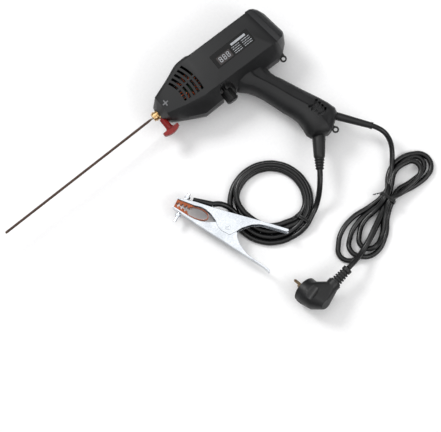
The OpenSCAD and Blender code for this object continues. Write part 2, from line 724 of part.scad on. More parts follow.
// a toothed strip between two jaw lines, with a sawtooth on its gripping side
module jaw(back, front, depth, low, high) translate([0, 0, low]) linear_extrude(high - low)
    polygon([[-87, back[0]], for (i = [0:jaw_teeth - 1]) let (
        start = -87 + i * jaw_pitch, f0 = front[0] + (front[1] - front[0]) * i / jaw_teeth,
        f1 = front[0] + (front[1] - front[0]) * (i + 1) / jaw_teeth)
        each [[start, f0], [start + jaw_pitch * 0.55, f1],
            [start + jaw_pitch * 0.6, f1 + depth], [start + jaw_pitch - 0.1, f1 + depth]],
        [-61, back[1]]]);

module upper_arm() color("#c3c7cc") clamp_frame() difference() {
    arm(upper_plate, upper_web, -1, 0, channel_h);
    translate([0, 0, -1]) cylinder(r = rivet_r, h = channel_h + 2);
    translate([bolt_x, 0, channel_h / 2]) rotate([-90, 0, 0]) cylinder(r = 2.5, h = 20);
}

module lower_arm() color("#c0c4c9") clamp_frame() difference() {
    arm(lower_plate, lower_web, 1, inner_low, inner_high);
    translate([0, 0, -1]) cylinder(r = rivet_r + fit, h = channel_h + 2);
    translate([bolt_x, 0, channel_h / 2]) rotate([90, 0, 0]) cylinder(r = 2.5, h = 20);
}

module pivot_rivet() color("#aeb2b7") clamp_frame() {
    cylinder(r = rivet_r, h = channel_h);
    difference() {
        for (z = [-0.6, channel_h]) translate([0, 0, z]) cylinder(r = rivet_r + 1.4, h = 0.6);
        translate([0, 0, channel_h]) cylinder(r = rivet_r - 1, h = 2);
    }
}

module clamp_spring() color("#8f9398") clamp_frame() {
    for (i = [0:5]) translate([0, 0, 5.5 + i * 2.2]) rotate_extrude()
        translate([spring_r, 0]) circle(spring_wire, $fn = 16);
    translate([spring_r, 0, 5.5]) cylinder(r = spring_wire / 2, h = 11, $fn = 16);
    translate([spring_r, 0, 16.5]) rotate([0, 90, 38]) cylinder(r = spring_wire - 0.1, h = 24,
        $fn = 16);
}

module spring_leg() color("#8f9398") clamp_frame()
    translate([9, -6.2, 6]) rotate([0, 90, -28]) cylinder(r = spring_wire, h = 20, $fn = 16);

module upper_jaw() color("#b06a45") clamp_frame() difference() {
    jaw([3, 5.5], [-3.2, -0.6], 2.6, inner_low + 2.4, inner_high - 2.4);
    translate([bolt_x, -10, channel_h / 2]) rotate([-90, 0, 0]) cylinder(r = 2.5, h = 20);
}

module lower_jaw() color("#b06a45") clamp_frame() difference() {
    jaw([-9.8, -11.6], [-4, -6.6], -2.6, inner_low + 2.4, inner_high - 2.4);
    translate([bolt_x, 0, channel_h / 2]) rotate([90, 0, 0]) cylinder(r = 2.5, h = 20);
}

// a springy copper strip that joins the two jaws round the mouth
module copper_shunt() color("#b06a45") clamp_frame() translate([0, 0, 6]) linear_extrude(10)
    polygon([[-61, 4.6], [-54, 6.6], [-47, 7.4], [-40.5, 6.6], [-35.5, 4], [-33, 0.4],
        [-33.5, -3.4], [-37, -6.8], [-43, -9.2], [-51, -10.8], [-61, -11], [-61, -10],
        [-51, -9.8], [-43.2, -8.3], [-37.6, -6], [-34.5, -3], [-34, 0.2], [-36.2, 3.3],
        [-40.8, 5.6], [-47, 6.4], [-54, 5.6], [-61, 3.6]]);

module nut(r, h) cylinder(r = r, h = h, $fn = 6);

module upper_bolt() color("#b3b7bc") clamp_frame() translate([bolt_x, 0, channel_h / 2])
    rotate([-90, 0, 0]) {
        translate([0, 0, 1]) cylinder(r = 2.5, h = 18.5);
        translate([0, 0, web_y + 3.4]) nut(4.6, 4);
    }

module lower_bolt() color("#b3b7bc") clamp_frame() translate([bolt_x, 0, channel_h / 2])
    rotate([90, 0, 0]) {
        translate([0, 0, 8.2]) cylinder(r = 2.5, h = 20.3);
        translate([0, 0, -bolt_bottom + 1.6]) nut(4.6, 4);
    }

// a ring tongue under the nut, lying on the slope of the upper arm
module cable_lug() color("#c9ccd0") clamp_frame() translate([bolt_x, web_y + 0.4, channel_h / 2])
    rotate(web_slope) rotate([-90, 0, 0]) difference() {
        union() {
            cylinder(r = 6, h = 1.2);
            translate([0, -3, 0]) cube([9, 6, 1.2]);
        }
        translate([0, 0, -2]) cylinder(r = 3.1, h = 6);
    }

module lug_sleeve() color("#151618") clamp_frame() translate([-67, 14.8, channel_h / 2])
    rotate([0, 90, 12.7]) cylinder(r1 = 3, r2 = ground_d / 2 + 0.6, h = 31);

left_housing();
right_housing();
nose_cap();
rear_cap();
label_plate();
display_window();
display_digits();
polarity_mark();
chuck();
pressure_tip();
clamp_screw();
electrode_core();
electrode_coating();
current_knob();
potentiometer();
dust_filter();
fan_frame();
fan_rotor();
power_board();
heatsink();
capacitors();
choke_core();
choke_winding();
display_board();
bus_bar();
housing_screws();
rear_strap_eye();
butt_strap_eye();
ground_boot();
mains_sleeve();
mains_cord();
mains_hank();
hank_tie();
plug_cord();
plug_body();
plug_relief();
plug_pins();
plug_earth_clips();
ground_cable();
ground_coil();
coil_tie();
clamp_lead();
upper_arm();
lower_arm();
pivot_rivet();
clamp_spring();
spring_leg();
upper_jaw();
lower_jaw();
copper_shunt();
upper_bolt();
lower_bolt();
cable_lug();
lug_sleeve();
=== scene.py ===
"""Looks for a hand-held arc welding gun with its ground clamp, cords and plug.

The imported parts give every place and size. Each operator below adds one piece or one group
of like pieces, in metres, in the same frame as the parts.
"""

import json
import math

import bmesh
import bpy
from mathutils import Matrix, Vector

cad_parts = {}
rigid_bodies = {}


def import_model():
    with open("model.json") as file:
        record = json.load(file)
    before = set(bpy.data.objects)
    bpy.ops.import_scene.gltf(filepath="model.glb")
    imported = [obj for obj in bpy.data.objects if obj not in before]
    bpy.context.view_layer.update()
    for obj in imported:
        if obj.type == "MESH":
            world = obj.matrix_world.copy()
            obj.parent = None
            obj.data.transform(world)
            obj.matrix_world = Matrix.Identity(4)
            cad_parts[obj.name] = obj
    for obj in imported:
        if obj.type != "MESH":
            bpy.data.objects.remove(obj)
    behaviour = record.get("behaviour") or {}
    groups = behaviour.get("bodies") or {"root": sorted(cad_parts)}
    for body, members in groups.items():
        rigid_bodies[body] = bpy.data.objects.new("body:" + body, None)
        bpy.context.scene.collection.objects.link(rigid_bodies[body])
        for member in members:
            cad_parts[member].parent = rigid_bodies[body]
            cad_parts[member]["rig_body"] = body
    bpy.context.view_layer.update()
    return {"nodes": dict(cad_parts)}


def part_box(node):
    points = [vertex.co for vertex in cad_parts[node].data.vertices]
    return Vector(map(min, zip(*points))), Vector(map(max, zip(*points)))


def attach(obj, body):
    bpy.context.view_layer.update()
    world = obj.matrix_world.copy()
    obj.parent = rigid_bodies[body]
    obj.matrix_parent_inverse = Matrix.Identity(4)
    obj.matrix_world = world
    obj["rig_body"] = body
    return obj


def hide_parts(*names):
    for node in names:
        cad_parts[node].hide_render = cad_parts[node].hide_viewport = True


bl_info = {
    "name": "Arc welding gun looks",
    "version": (1, 0, 0),
    "blender": (4, 5, 0),
    "location": "3D View > Sidebar > Welding gun",
    "description": "Builds the looks of a hand-held arc welding gun round its packed parts",
    "category": "Add Mesh",
}

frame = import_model()

MM = 0.001
# The gun's own drawing point is its nose; the part's origin lies this far from it.
NOSE_X = 30.32
NOSE_Y = 128.253
MID_HEIGHT = 40.0


# ---- small helpers ----


def linear(hex_colour):
    """An sRGB hex colour as linear red, green and blue."""
    parts = [int(hex_colour[i:i + 2], 16) / 255 for i in (1, 3, 5)]
    return tuple(c / 12.92 if c <= 0.04045 else ((c + 0.055) / 1.055) ** 2.4 for c in parts)


def at(u, v, height):
    """A point given in millimetres from the gun's nose, in the part's frame in metres."""
    return Vector((u + NOSE_X, v + NOSE_Y, height)) * MM


def add_node(tree, kind, values=None, links=None, **settings):
    """Adds one shader node with its settings, its socket values and its links."""
    made = tree.nodes.new(kind)
    for name, value in settings.items():
        setattr(made, name, value)
    for socket, value in (values or {}).items():
        made.inputs[socket].default_value = value
    for socket, source in (links or {}).items():
        tree.links.new(source, made.inputs[socket])
    return made


def finishes():
    """The colours that a user may change."""
    return bpy.context.scene.welding_gun_finish


def sizes():
    """The sizes that a user may change."""
    return bpy.context.scene.welding_gun_sizes


def link(name, mesh):
    """A new object for a mesh or a curve, in the scene."""
    made = bpy.data.objects.new(name, mesh)
    bpy.context.scene.collection.objects.link(made)
    return made


def shade(mesh, angle):
    """Smooth shading, with the edges sharper than an angle kept crisp."""
    bm = bmesh.new()
    bm.from_mesh(mesh)
    for face in bm.faces:
        face.smooth = True
    for edge in bm.edges:
        edge.smooth = len(edge.link_faces) == 2 and edge.calc_face_angle(0) < angle
    bm.to_mesh(mesh)
    bm.free()


def from_bmesh(name, bm, material, body, crisp=math.radians(35)):
    """A finished piece from a bmesh: closed, facing out, shaded and riding on its body."""
    bmesh.ops.remove_doubles(bm, verts=bm.verts, dist=1e-6)
    bmesh.ops.recalc_face_normals(bm, faces=bm.faces)
    mesh = bpy.data.meshes.new(name)
    bm.to_mesh(mesh)
    bm.free()
    mesh.materials.append(material)
    shade(mesh, crisp)
    made = link(name, mesh)
    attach(made, body)
    return made


def refined(node, material, rounding, crisp=35, segments=2, least_angle=28):
    """A copy of a part with rounded edges and smooth shading, standing in for the part."""
    bm = bmesh.new()
    bm.from_mesh(frame["nodes"][node].data)
    bmesh.ops.remove_doubles(bm, verts=bm.verts, dist=5e-6)
    bmesh.ops.dissolve_limit(bm, angle_limit=math.radians(0.4), verts=bm.verts,
                             edges=bm.edges)
    made = from_bmesh(node + "_finished", bm, material, frame["nodes"][node]["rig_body"],
                      math.radians(crisp))
    if rounding:
        bevel = made.modifiers.new("rounded edges", "BEVEL")
        bevel.width = rounding * MM
        bevel.segments = segments
        bevel.limit_method = "ANGLE"
        bevel.angle_limit = math.radians(least_angle)
        bevel.harden_normals = True
    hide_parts(node)
    return made


def coat(node, material):
    """Gives a part whose shape is right its real material."""
    slots = frame["nodes"][node].data.materials
    slots.clear()
    slots.append(material)


def slotted(piece):
    """Returns the piece as it is; nothing is done to it."""
    return piece


def box_into(bm, low, high):
    """Adds a box between two corners, in metres, to a bmesh."""
    size = high - low
    bmesh.ops.create_cube(bm, size=1, matrix=Matrix.Translation((low + high) / 2)
                          @ Matrix.Diagonal((*size, 1)))


def turned(profile, axis_start, axis_way, steps=48):
    """A bmesh spun round an axis from a profile of (distance along, radius) in metres."""
    bm = bmesh.new()
    across = axis_way.orthogonal().normalized()
    verts = [bm.verts.new(axis_start + axis_way * along + across * radius)
             for along, radius in profile]
    edges = [bm.edges.new(pair) for pair in zip(verts, verts[1:])]
    bmesh.ops.spin(bm, geom=verts + edges, cent=axis_start, axis=axis_way,
                   angle=math.tau, steps=steps, use_merge=True)
    bmesh.ops.holes_fill(bm, edges=bm.edges, sides=steps + 1)
    return bm


def tube(name, points, radius, material, body, cyclic=False):
    """A round wire or cord along points, as a curve of one spline."""
    curve = bpy.data.curves.new(name, "CURVE")
    curve.dimensions = "3D"
    curve.bevel_depth = radius
    curve.bevel_resolution = 5
    curve.resolution_u = 8
    curve.use_fill_caps = True
    spline = curve.splines.new("BEZIER")
    spline.bezier_points.add(len(points) - 1)
    spline.use_cyclic_u = cyclic
    for knot, place in zip(spline.bezier_points, points):
        knot.co = place
        knot.handle_left_type = knot.handle_right_type = "AUTO"
    curve.materials.append(material)
    made = link(name, curve)
    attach(made, body)
    return made


def ease(table, at_value):
    """A value read from (place, value) pairs, with soft starts and stops between them."""
    for (a, low), (b, high) in zip(table, table[1:]):
        if at_value <= b:
            share = (at_value - a) / (b - a)
            return low + (high - low) * (0.5 - 0.5 * math.cos(math.pi * share))
    return table[-1][1]


# ---- materials ----


def surface(name, dark, light, roughness, grain, bump=0.0, metallic=0.0, blotch=40.0,
            stretch=(1, 1, 1), contrast=0.5, **shader):
    """A procedural surface: fine grain and slow blotches, both of sizes in millimetres.

    The grain drives the bump and the roughness, and grain and blotches mix the two colours.
    """
    material = bpy.data.materials.new(name)
    material.use_nodes = True
    tree = material.node_tree
    tree.nodes.clear()
    place = add_node(tree, "ShaderNodeTexCoord")
    map_ = add_node(tree, "ShaderNodeMapping", {"Scale": stretch},
                    {"Vector": place.outputs["Object"]})
    fine = add_node(tree, "ShaderNodeTexNoise", {"Scale": 1 / (grain * MM), "Detail": 5.0,
                                                 "Roughness": 0.6},
                    {"Vector": map_.outputs[0]})
    slow = add_node(tree, "ShaderNodeTexNoise", {"Scale": 1 / (blotch * MM), "Detail": 3.0},
                    {"Vector": place.outputs["Object"]})
    mixed = add_node(tree, "ShaderNodeMath", {1: 0.5}, {0: fine.outputs[0]},
                     operation="MULTIPLY")
    both = add_node(tree, "ShaderNodeMath", {1: 0.5}, {0: slow.outputs[0],
                                                      2: mixed.outputs[0]},
                    operation="MULTIPLY_ADD")
    tone = add_node(tree, "ShaderNodeValToRGB", links={0: both.outputs[0]})
    tone.color_ramp.elements[0].position = 0.5 - 0.3 * contrast
    tone.color_ramp.elements[0].color = (*linear(dark), 1)
    tone.color_ramp.elements[1].position = 0.5 + 0.3 * contrast
    tone.color_ramp.elements[1].color = (*linear(light), 1)
    rough = add_node(tree, "ShaderNodeMapRange",
                     {"From Min": 0.3, "From Max": 0.7, "To Min": roughness[0],
                      "To Max": roughness[1]}, {"Value": both.outputs[0]})
    values = {"Metallic": metallic, **shader}
    links = {"Base Color": tone.outputs[0], "Roughness": rough.outputs[0]}
    if bump:
        relief = add_node(tree, "ShaderNodeBump", {"Strength": 1.0, "Distance": bump * MM},
                          {"Height": fine.outputs[0]})
        links["Normal"] = relief.outputs[0]
    body = add_node(tree, "ShaderNodeBsdfPrincipled", values, links)
    add_node(tree, "ShaderNodeOutputMaterial", links={"Surface": body.outputs[0]})
    return material


def make_materials():
    """Every finish on the gun, its cords and its clamp, by the name of the real material."""
    look = finishes()
    made = {
        # Spark-eroded ABS: dull, with a fine even grain that breaks up the highlights.
        "abs": surface("abs_moulded_spark_textured", look.housing_dark, look.housing_light,
                       (0.42, 0.6), 1.6, 0.07, blotch=35, IOR=1.43),
        # The same plastic on the side plate's cap and vents, a little smoother.
        "cap": surface("abs_moulded_satin", "#101113", "#1c1d20", (0.34, 0.5), 1.4, 0.03,
                       blotch=30, IOR=1.5),
        # Glass-filled nylon: darker and drier, with specks of fibre at the surface.
        "nylon": surface("nylon_glass_filled", "#040405", "#0e0f10", (0.32, 0.5), 1.2, 0.05,
                         blotch=18, IOR=1.47),
        # Soft PVC jacket: even black with a slow waxy bloom.
        "pvc": surface("pvc_cable_jacket", "#020203", "#08090a", (0.2, 0.36), 2.0, 0.03,
                       blotch=26, IOR=1.47),
        # Moulded rubber of the boots and the plug: duller than the jacket.
        "rubber": surface("rubber_moulded", "#050506", "#0d0e10", (0.36, 0.54), 1.5, 0.06,
                          blotch=20, IOR=1.48),
        # Polyester film over the label, with a faint orange peel.
        "film": surface("label_film_gloss", "#020203", "#060607", (0.14, 0.22), 2.5, 0.01,
                        blotch=30, IOR=1.3),
        # Smoked acrylic in front of the digits.
        "acrylic": surface("acrylic_smoked", "#120607", "#1c0a0b", (0.08, 0.14), 3.0,
                           blotch=20, IOR=1.49),
        # Screen-printed ink: chalky, with a slightly uneven coat.
        "ink": surface("screen_print_ink", "#8f9296", "#b6b9bd", (0.55, 0.7), 0.8, 0.01,
                       blotch=9, IOR=1.5),
        # The raised plus mark, rubbed with the same ink and mostly worn off again.
        "mark": surface("screen_print_ink_worn", "#3a3a3b", "#8b8c8f", (0.55, 0.7), 0.9, 0.02,
                        blotch=4, IOR=1.5, contrast=0.9),
        # Turned brass: rings from the tool round the axis, so the grain is stretched across it.
        "brass": surface("brass_turned", "#8f6c3e", "#e6c796", (0.2, 0.38), 1.2, 0.02, 1.0,
                         blotch=8, stretch=(1, 0.08, 0.08)),
        # Red phenolic on the wing screw, polished by fingers.
        "red": surface("phenolic_red_moulded", "#520807", "#981512", (0.3, 0.46), 1.6, 0.03,
                       blotch=9, IOR=1.42),
        # Drawn steel core wire: dull, grained along its length.
        "wire": surface("steel_wire_drawn", "#6d655b", "#a39a8c", (0.35, 0.5), 0.9, 0.02,
                        1.0, blotch=12, stretch=(0.05, 1, 1)),
        # Extruded flux coating: rough brown clay with pores and a few paler streaks.
        "flux": surface("flux_coating_extruded", "#2a1e18", "#5a4235", (0.7, 0.9), 1.1, 0.12,
                        blotch=14, IOR=1.55, contrast=0.8),
        # Bright zinc plate on pressed steel: clear, with a blue cast and slow clouds.
        "zinc": surface("zinc_plated_steel_bright", "#a4aab1", "#dcdfe3", (0.14, 0.28), 2.4,
                        0.012, 1.0, blotch=26, contrast=0.8),
        # Nickel plate worn to a brown sheen on the plug's pins.
        "nickel": surface("nickel_plate_worn", "#6e5c46", "#a28c70", (0.24, 0.4), 1.0, 0.01,
                          1.0, blotch=5, stretch=(1, 0.15, 1)),
        # Spring steel, bright from drawing.
        "spring": surface("spring_steel_drawn", "#7f8489", "#b6babf", (0.22, 0.36), 1.2, 0.01,
                          1.0, blotch=6),
        # Stamped copper with a brown film of tarnish in its hollows.
        "copper": surface("copper_stamped_tarnished", "#6a3220", "#b56a48", (0.24, 0.44), 1.3,
                          0.03, 1.0, blotch=7, contrast=0.8),
        # Enamelled copper wire of the choke: orange and glossy.
        "enamel": surface("copper_wire_enamelled", "#8b3a1a", "#b9562c", (0.2, 0.3), 1.0,
                          0.02, 0.8, blotch=8),
        # Extruded aluminium fins, dull from the die.
        "aluminium": surface("aluminium_extruded", "#8b8e92", "#b4b7bb", (0.35, 0.5), 1.0,
                             0.02, 1.0, blotch=10, stretch=(0.1, 1, 1)),
        # Solder mask over the boards' glass cloth.
        "board": surface("board_solder_mask", "#123f20", "#1f5c31", (0.35, 0.5), 1.2, 0.02,
                         blotch=10, IOR=1.5),
        # Shrunk sleeve on the capacitors.
        "sleeve": surface("capacitor_shrink_sleeve", "#141c30", "#20304f", (0.25, 0.35), 2.0,
                          0.01, blotch=8, IOR=1.5),
        # Pressed and sintered ferrite: dull grey and slightly chalky.
        "ferrite": surface("ferrite_sintered", "#2a2b2e", "#3d3e42", (0.6, 0.75), 0.9, 0.05,
                           blotch=8, IOR=1.6),
    }
    return made


MATERIALS = {}


# ---- cords ----

# Diameters in millimetres.
CORD_D = 8.0
GROUND_D = 8.6
# The middle of the coil and of the hank's tie, from the gun's nose in millimetres.
COIL_U, COIL_V = 55.5, -209.5
TIE_U, TIE_V = 197.0, -316.0
HANK_SLOPE = math.radians(14.5)


def coil_points():
    """Three and a half turns of the ground cable, clockwise from where it comes down.

    The first table gives the radius and the second the height, each against degrees turned.
    The turns fan out in one layer below the clamp and bunch up on the far side.
    """
    radius = ((0, 66), (50, 61.4), (340, 61.4), (410, 44.2), (480, 44.2), (547, 52.8),
              (700, 52.6), (775, 35.6), (822, 35.6), (927, 57), (1060, 57), (1130, 52.8),
              (1210, 52.8))
    height = ((0, 12.9), (45, 4.6), (812, 4.6), (867, 12.9), (1060, 12.4), (1122, 4.6),
              (1210, 4.6))
    start = -53.4
    last = 1205
    steps = 54
    points = []
    for i in range(steps + 1):
        swept = last * i / steps
        angle = math.radians(start - swept)
        r = ease(radius, swept)
        points.append(at(COIL_U + r * math.cos(angle), COIL_V + r * math.sin(angle),
                         ease(height, swept)))
    return points


def ground_points():
    """The ground cable from its boot, through the coil, to the sleeve on the clamp's lug."""
    drop = [(141, -220.5, 40), (134.5, -229, 39.4), (127, -238, 35.5), (119.5, -246, 28.5),
            (112, -252.5, 20.5), (104, -258, 14.5)]
    lead = [(4, -194, 5.6), (3.2, -185, 8.6), (1, -177.5, 12.9), (-2.5, -170.8, 17),
            (-7, -165.3, 19.6), (-12, -161.3, 20.3), (-16.3, -158.7, 20.3)]
    return [at(*p) for p in drop] + coil_points() + [at(*p) for p in lead]


def in_tie(across, height):
    """Where a strand passes through the tied bundle of the hank."""
    return (TIE_U - across * math.sin(HANK_SLOPE), TIE_V + across * math.cos(HANK_SLOPE),
            height)


def bend(u, v, radius, first, last, low, high):
    """Five points round an arc, in degrees, that climb from one height to another."""
    points = []
    for i in range(5):
        share = i / 4
        angle = math.radians(first + (last - first) * share)
        points.append((u + radius * math.cos(angle), v + radius * math.sin(angle),
                       low + (high - low) * share))
    return points


def mains_points():
    """The mains cord from its sleeve, through the loops of the hank, to the plug."""
    route = [
        (245.5, -218.5, 40), (249.5, -225.5, 39), (253.5, -235, 35.5), (254.5, -246, 29),
        (252, -256.5, 22), (246.5, -266, 16.5), (239, -275.5, 13.4), (230, -286, 12.8),
        (214, -300, 12.4), in_tie(8.4, 11.6),
        (170, -308, 5), (138, -305, 4.4), (110, -312, 4.4),
        *bend(103.5, -339.5, 17.5, 125, 280, 4.4, 4.4), (140, -346, 4.4),
        (172, -331, 4.4), in_tie(-4.2, 4.4),
        (222, -322, 4.4), (245, -326, 4.4),
        *bend(266, -305.6, 20, -85, 60, 4.4, 4.4), (250, -279.5, 4.4), (228, -284, 4.4),
        in_tie(4.2, 4.4),
        (168, -314, 4.4), (140, -315.5, 4.4), (116, -326, 5), (103, -342, 10),
        (109, -359, 10.5), (130, -368.5, 5.2), (160, -357, 4.8), (180, -337, 6),
        in_tie(-8.4, 11.6),
        (218, -315, 5.5), (240, -317, 4.4),
        *bend(263, -302, 14, -80, 80, 4.6, 4.6), (243, -287, 4.6), (222, -294, 7),
        in_tie(4.2, 18.8),
        (172, -318, 11), (146, -321, 6.5),
        *bend(135.5, -346, 15, 125, 275, 8, 11), (154, -354.5, 6.5), (176, -334, 11),
        in_tie(-4.2, 18.8),
        (216, -322, 14), (238, -321.5, 12.6),
        *bend(253, -305, 14, -75, 85, 12.6, 12.6), (233, -290.5, 13), (214, -304, 13),
        in_tie(0, 11.6),
        (176, -327, 14), (152, -339, 18.5), (130, -349.5, 20.4), (112, -356.2, 21.5),
        (98, -360.2, 26.5), (90, -361.6, 29), (80.6, -363.1, 30.7)]
    return [at(*p) for p in route]


def frame_of(middle, along_way, up=Vector((0, 0, 1))):
    """A turn and place whose first axis runs along a way and whose third is up."""
    x = along_way.normalized()
    y = up.cross(x).normalized()
    z = x.cross(y)
    return Matrix.Translation(middle) @ Matrix((x, y, z)).transposed().to_4x4()


def twist_tie(name, middle, way, wide, high, material):
    """A flat ribbed tie round a bundle, with its two ends twisted together on one side."""
    band = 0.5 * 4.6 * MM
    thick = 0.9 * MM
    bm = bmesh.new()
    place = frame_of(middle, way)
    outline = 28
    rings = []
    for side in (-band, -0.35 * band, 0, 0.35 * band, band):
        swell = 0.0006 if side == 0 else 0.0
        ring = []
        for i in range(outline):
            a = math.tau * i / outline
            c, s = math.cos(a), math.sin(a)
            y = math.copysign(abs(c) ** 0.6, c) * (wide / 2 + thick + swell)
            z = math.copysign(abs(s) ** 0.6, s) * (high / 2 + thick + swell)
            ring.append(bm.verts.new(place @ Vector((side, y, z))))
        rings.append([bm.edges.new((ring[i], ring[(i + 1) % outline]))
                      for i in range(outline)])
    for a, b in zip(rings, rings[1:]):
        bmesh.ops.bridge_loops(bm, edges=a + b)
    bmesh.ops.solidify(bm, geom=bm.faces[:], thickness=thick)
    low = min(v.co.z for v in bm.verts)
    for v in bm.verts:
        v.co.z += max(0, 0.0003 - low)
    # the twisted ends: a thin flat strip turned round itself
    strip = []
    turns = 12
    start = place @ Vector((0, wide / 2 + 0.5 * thick, high * 0.2))
    way_out = (place.to_3x3() @ Vector((-0.75, 0.6, 0.12))).normalized()
    for i in range(turns + 1):
        spin = Matrix.Rotation(math.radians(75) * i, 3, way_out)
        half = spin @ (way_out.orthogonal().normalized() * 0.0014)
        spot = start + way_out * (0.0011 * i)
        strip.append((bm.verts.new(spot + half), bm.verts.new(spot - half)))
    for (a, b), (c, d) in zip(strip, strip[1:]):
        bm.faces.new((a, b, d, c))
    return from_bmesh(name, bm, material, "gun")


class WELDINGGUN_OT_cords(bpy.types.Operator):
    """Lays the ground cable in its coil and the mains cord in its hank"""

    bl_idname = "welding_gun.cords"
    bl_label = "Cords, ties and plug"

    def execute(self, context):
        pvc, rubber = MATERIALS["pvc"], MATERIALS["rubber"]
        sleeve = refined("mains_sleeve", rubber, 0.4)
        boot = refined("ground_boot", rubber, 0.35)
        plug = make_plug()
        relief = refined("plug_relief", rubber, 0.35)
        pins = refined("plug_pins", MATERIALS["nickel"], 0.3)
        clips = refined("plug_earth_clips", MATERIALS["zinc"], 0.15)
        hank_tie = twist_tie("hank_twist_tie", at(TIE_U, TIE_V, 12.2),
                             Vector((math.cos(HANK_SLOPE), math.sin(HANK_SLOPE), 0)),
                             25 * MM, 23.4 * MM, MATERIALS["nylon"])
        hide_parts("hank_tie")
        low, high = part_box("coil_tie")
        coil_tie = twist_tie("coil_twist_tie", (low + high) / 2 + Vector((0, 0, -0.0004)),
                             Vector((0.94, 0.34, 0)), 19 * MM, 17.4 * MM,
                             MATERIALS["nylon"])
        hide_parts("coil_tie")
        for piece in (sleeve, boot, plug, relief):
            slotted(piece)

        ground = ground_points()
        cable = tube("ground_cable_jacket", ground, GROUND_D / 2 * MM, pvc, "gun")
        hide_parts("ground_cable", "ground_coil", "clamp_lead")
        slotted(cable)

        mains = mains_points()
        cord = tube("mains_cord_jacket", mains, CORD_D / 2 * MM, pvc, "gun")
        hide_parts("mains_cord", "mains_hank", "plug_cord")
        slotted(cord)
        return {"FINISHED"}


def make_plug():
    """The angled mains plug, with its moulded edges rounded."""
    return refined("plug_body", MATERIALS["rubber"], 1.6, crisp=50, segments=3)


# ---- the gun ----


class WELDINGGUN_OT_housing(bpy.types.Operator):
    """Rounds and finishes the two housing halves, the nose cap, the rear cap and the screws"""

    bl_idname = "welding_gun.housing"
    bl_label = "Housing"

    def execute(self, context):
        edge = sizes().edge_rounding
        for node, material in (("left_housing", "abs"), ("right_housing", "abs"),
                               ("nose_cap", "nylon"), ("rear_cap", "cap")):
            piece = refined(node, MATERIALS[material], edge)
            slotted(piece)
        for node in ("rear_strap_eye", "butt_strap_eye"):
            refined(node, MATERIALS["nylon"], 0.5)
        coat("housing_screws", MATERIALS["zinc"])
        return {"FINISHED"}


class WELDINGGUN_OT_label(bpy.types.Operator):
    """Makes the label with its window, digits and rows of plain printed marks"""

    bl_idname = "welding_gun.label"
    bl_label = "Label and plus mark"

    def execute(self, context):
        refined("label_plate", MATERIALS["film"], 0.15)
        coat("display_window", MATERIALS["acrylic"])
        refined("display_digits", MATERIALS["ink"], 0.0)
        refined("polarity_mark", MATERIALS["mark"], 0.1)
        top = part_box("label_plate")[1].z
        bm = bmesh.new()
        ink_height = 0.12 * MM
        box_into(bm, at(150, 4, 0) + Vector((0, 0, top)), at(177, 7.5, 0)
                 + Vector((0, 0, top + ink_height)))
        # four rows of dashes in two columns, standing for a table of settings
        for row, v in enumerate((0.4, -2.9, -6.2, -9.3)):
            for column, (start, end) in enumerate(((148, 162), (166, 181))):
                u = start
                step = 0
                while u < end:
                    width = (1.4, 2.6, 0.9, 2.0)[(step + row + 2 * column) % 4]
                    box_into(bm, at(u, v, 0) + Vector((0, 0, top)),
                             at(min(u + width, end), v + 1.1, 0)
                             + Vector((0, 0, top + ink_height)))
                    u += width + 0.8
                    step += 1
        marks = from_bmesh("label_marks", bm, MATERIALS["ink"], "gun")
        slotted(marks)
        return {"FINISHED"}


class WELDINGGUN_OT_chuck(bpy.types.Operator):
    """Finishes the brass chuck, the red wing screw and the pressure tip under it"""

    bl_idname = "welding_gun.chuck"
    bl_label = "Chuck and wing screw"

    def execute(self, context):
        slotted(refined("chuck", MATERIALS["brass"], 0.4))
        slotted(refined("clamp_screw", MATERIALS["red"], 0.7, segments=3))
        coat("pressure_tip", MATERIALS["spring"])
        return {"FINISHED"}


class WELDINGGUN_OT_electrode(bpy.types.Operator):
    """Spins the stick electrode: a flux coating with a worn tip over a steel core wire"""

    bl_idname = "welding_gun.electrode"
    bl_label = "Stick electrode"

    def execute(self, context):
        low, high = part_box("electrode_coating")
        middle = (low + high) / 2
        radius = (high.z - low.z) / 2
        length = high.x - low.x
        core_low, core_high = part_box("electrode_core")
        core_r = (core_high.z - core_low.z) / 2
        start = Vector((low.x, middle.y, middle.z))
        profile = [(0, core_r), (0, 0.82 * radius), (0.0012, 0.97 * radius)]
        steps = 60
        for i in range(1, steps):
            share = i / steps
            wobble = 0.012 * math.sin(37 * share) + 0.01 * math.sin(91 * share + 1)
            profile.append((0.0015 + share * (length - 0.007), radius * (0.985 + wobble)))
        profile += [(length - 0.005, 0.97 * radius), (length, core_r)]
        bm = turned(profile, start, Vector((1, 0, 0)), 24)
        flux = from_bmesh("electrode_flux", bm, MATERIALS["flux"], "electrode", 1.0)
        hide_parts("electrode_coating")
        slotted(flux)
        coat("electrode_core", MATERIALS["wire"])
        return {"FINISHED"}


class WELDINGGUN_OT_knob(bpy.types.Operator):
    """Finishes the fluted current knob and its potentiometer"""

    bl_idname = "welding_gun.knob"
    bl_label = "Current knob"

    def execute(self, context):
        slotted(refined("current_knob", MATERIALS["nylon"], 0.5))
        coat("potentiometer", MATERIALS["zinc"])
        return {"FINISHED"}


class WELDINGGUN_OT_inside(bpy.types.Operator):
    """Finishes what shows through the vents: boards, heatsink, choke and fan"""

    bl_idname = "welding_gun.inside"
    bl_label = "Inner parts"

    def execute(self, context):
        for node, material in (("fan_frame", "nylon"), ("fan_rotor", "nylon"),
                               ("power_board", "board"), ("display_board", "board"),
                               ("heatsink", "aluminium"), ("capacitors", "sleeve"),
                               ("choke_core", "ferrite"), ("choke_winding", "enamel"),
                               ("bus_bar", "copper")):
            coat(node, MATERIALS[material])
        return {"FINISHED"}


# ---- the ground clamp ----


